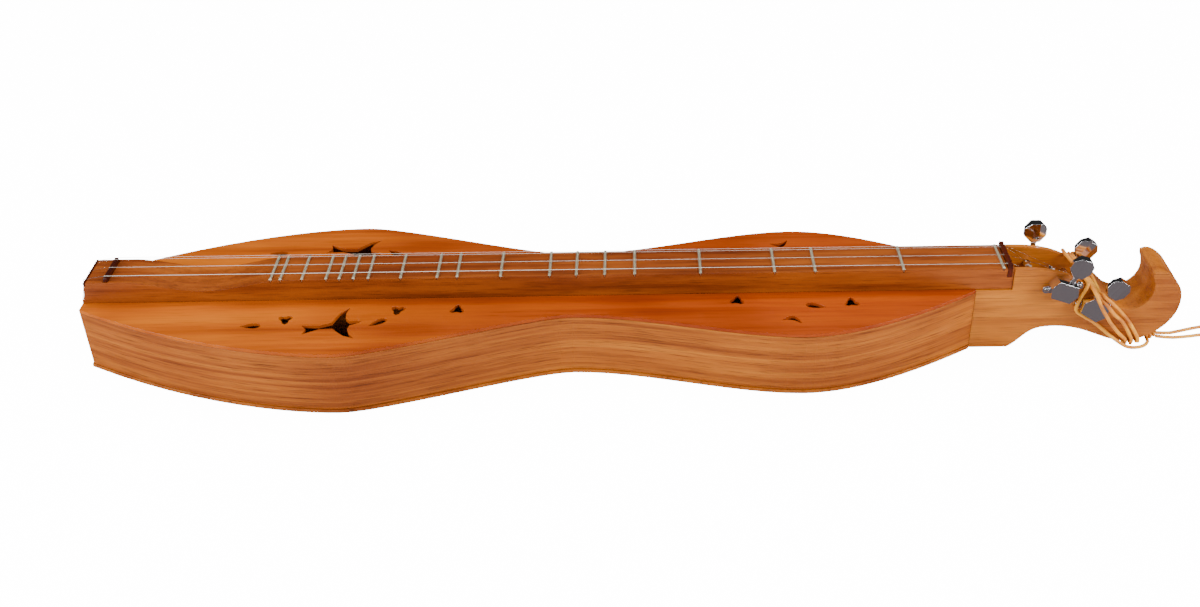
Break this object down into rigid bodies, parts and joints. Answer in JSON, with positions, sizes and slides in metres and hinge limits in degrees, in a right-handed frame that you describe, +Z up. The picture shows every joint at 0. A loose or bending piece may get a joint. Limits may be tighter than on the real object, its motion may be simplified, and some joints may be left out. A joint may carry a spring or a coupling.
{
  "type": "mountain dulcimer",
  "caption": "Fretted hourglass zither with a strum hollow, sound holes, geared tuners on a scroll head and a leather lace; its tuner buttons turn the string posts.",
  "frame": {"origin": "on the underside of the back, on the centreline, halfway along the sounding strings", "axes": "+X along the strings towards the tuners, +Y to the player's far side, +Z up out of the soundboard"},
  "size_m": [0.9839, 0.192, 0.0914],
  "materials": {
    "cherry_soundboard": "satin",
    "walnut_body": "satin",
    "walnut_fingerboard": "satin",
    "spruce_inside": "raw",
    "rosewood": "satin",
    "nickel_silver": "polished",
    "string_steel": "bright",
    "chrome": "polished",
    "brass": "polished",
    "leather_lace": "matt"
  },
  "bodies": {
    "instrument": {"back": "walnut_body", "rib_near": "walnut_body", "rib_far": "walnut_body", "soundboard_near": "cherry_soundboard", "soundboard_far": "cherry_soundboard", "tail_block": "spruce_inside", "head_block": "spruce_inside", "top_brace_lower": "spruce_inside", "top_brace_upper": "spruce_inside", "back_brace_lower": "spruce_inside", "back_brace_upper": "spruce_inside", "fingerboard": "walnut_fingerboard", "end_strip": "rosewood", "zero_fret": "nickel_silver", "fret_01": "nickel_silver", "fret_02": "nickel_silver", "fret_03": "nickel_silver", "fret_04": "nickel_silver", "fret_05": "nickel_silver", "fret_06": "nickel_silver", "fret_07": "nickel_silver", "fret_08": "nickel_silver", "fret_09": "nickel_silver", "fret_10": "nickel_silver", "fret_11": "nickel_silver", "fret_12": "nickel_silver", "fret_13": "nickel_silver", "fret_14": "nickel_silver", "fret_15": "nickel_silver", "fret_16": "nickel_silver", "fret_17": "nickel_silver", "fret_18": "nickel_silver", "fret_19": "nickel_silver", "nut": "rosewood", "bridge": "rosewood", "headstock": "walnut_body", "tuner_far_front_housing": "chrome", "tuner_near_front_housing": "chrome", "tuner_far_rear_housing": "chrome", "tuner_near_rear_housing": "chrome", "hitch_pin_melody_outer": "brass", "hitch_pin_melody_inner": "brass", "hitch_pin_middle": "brass", "hitch_pin_bass": "brass", "string_melody_outer": "string_steel", "string_melody_inner": "string_steel", "string_middle": "string_steel", "string_bass": "string_steel", "lace_winding": "leather_lace", "lace_knot": "leather_lace", "lace_tail_long": "leather_lace", "lace_tail_short": "leather_lace"},
    "tuner_far_front_button": {"tuner_far_front_button": "chrome"},
    "tuner_far_front_post": {"tuner_far_front_post": "chrome"},
    "tuner_near_front_button": {"tuner_near_front_button": "chrome"},
    "tuner_near_front_post": {"tuner_near_front_post": "chrome"},
    "tuner_far_rear_button": {"tuner_far_rear_button": "chrome"},
    "tuner_far_rear_post": {"tuner_far_rear_post": "chrome"},
    "tuner_near_rear_button": {"tuner_near_rear_button": "chrome"},
    "tuner_near_rear_post": {"tuner_near_rear_post": "chrome"}
  },
  "joints": [
    {"name": "tuner_far_front_button_turns", "type": "hinge", "parent": "instrument", "child": "tuner_far_front_button", "pos_m": [0.3962, 0.0265, 0.0592], "axis": [0, 0, 1], "continuous": true},
    {"name": "tuner_far_front_post_turns", "type": "hinge", "parent": "instrument", "child": "tuner_far_front_post", "pos_m": [0.3892, 0.0195, 0.0592], "axis": [0, 1, 0], "continuous": true},
    {"name": "tuner_near_front_button_turns", "type": "hinge", "parent": "instrument", "child": "tuner_near_front_button", "pos_m": [0.41174, -0.0265, 0.05833], "axis": [0.3486, 0, 0.9373], "continuous": true},
    {"name": "tuner_near_front_post_turns", "type": "hinge", "parent": "instrument", "child": "tuner_near_front_post", "pos_m": [0.40518, -0.0195, 0.06077], "axis": [0, -1, 0], "continuous": true},
    {"name": "tuner_far_rear_button_turns", "type": "hinge", "parent": "instrument", "child": "tuner_far_rear_button", "pos_m": [0.42602, 0.0265, 0.04603], "axis": [0.5878, 0, 0.809], "continuous": true},
    {"name": "tuner_far_rear_post_turns", "type": "hinge", "parent": "instrument", "child": "tuner_far_rear_post", "pos_m": [0.42036, 0.0195, 0.05015], "axis": [0, 1, 0], "continuous": true},
    {"name": "tuner_near_rear_button_turns", "type": "hinge", "parent": "instrument", "child": "tuner_near_rear_button", "pos_m": [0.43793, -0.0265, 0.04045], "axis": [0.5821, 0, 0.8131], "continuous": true},
    {"name": "tuner_near_rear_post_turns", "type": "hinge", "parent": "instrument", "child": "tuner_near_rear_post", "pos_m": [0.43224, -0.0195, 0.04452], "axis": [0, -1, 0], "continuous": true}
  ],
  "couplings": [
    {"joint": "tuner_far_front_post_turns", "follows": "tuner_far_front_button_turns", "ratio": 0.071429},
    {"joint": "tuner_near_front_post_turns", "follows": "tuner_near_front_button_turns", "ratio": 0.071429},
    {"joint": "tuner_far_rear_post_turns", "follows": "tuner_far_rear_button_turns", "ratio": 0.071429},
    {"joint": "tuner_near_rear_post_turns", "follows": "tuner_near_rear_button_turns", "ratio": 0.071429}
  ]
}
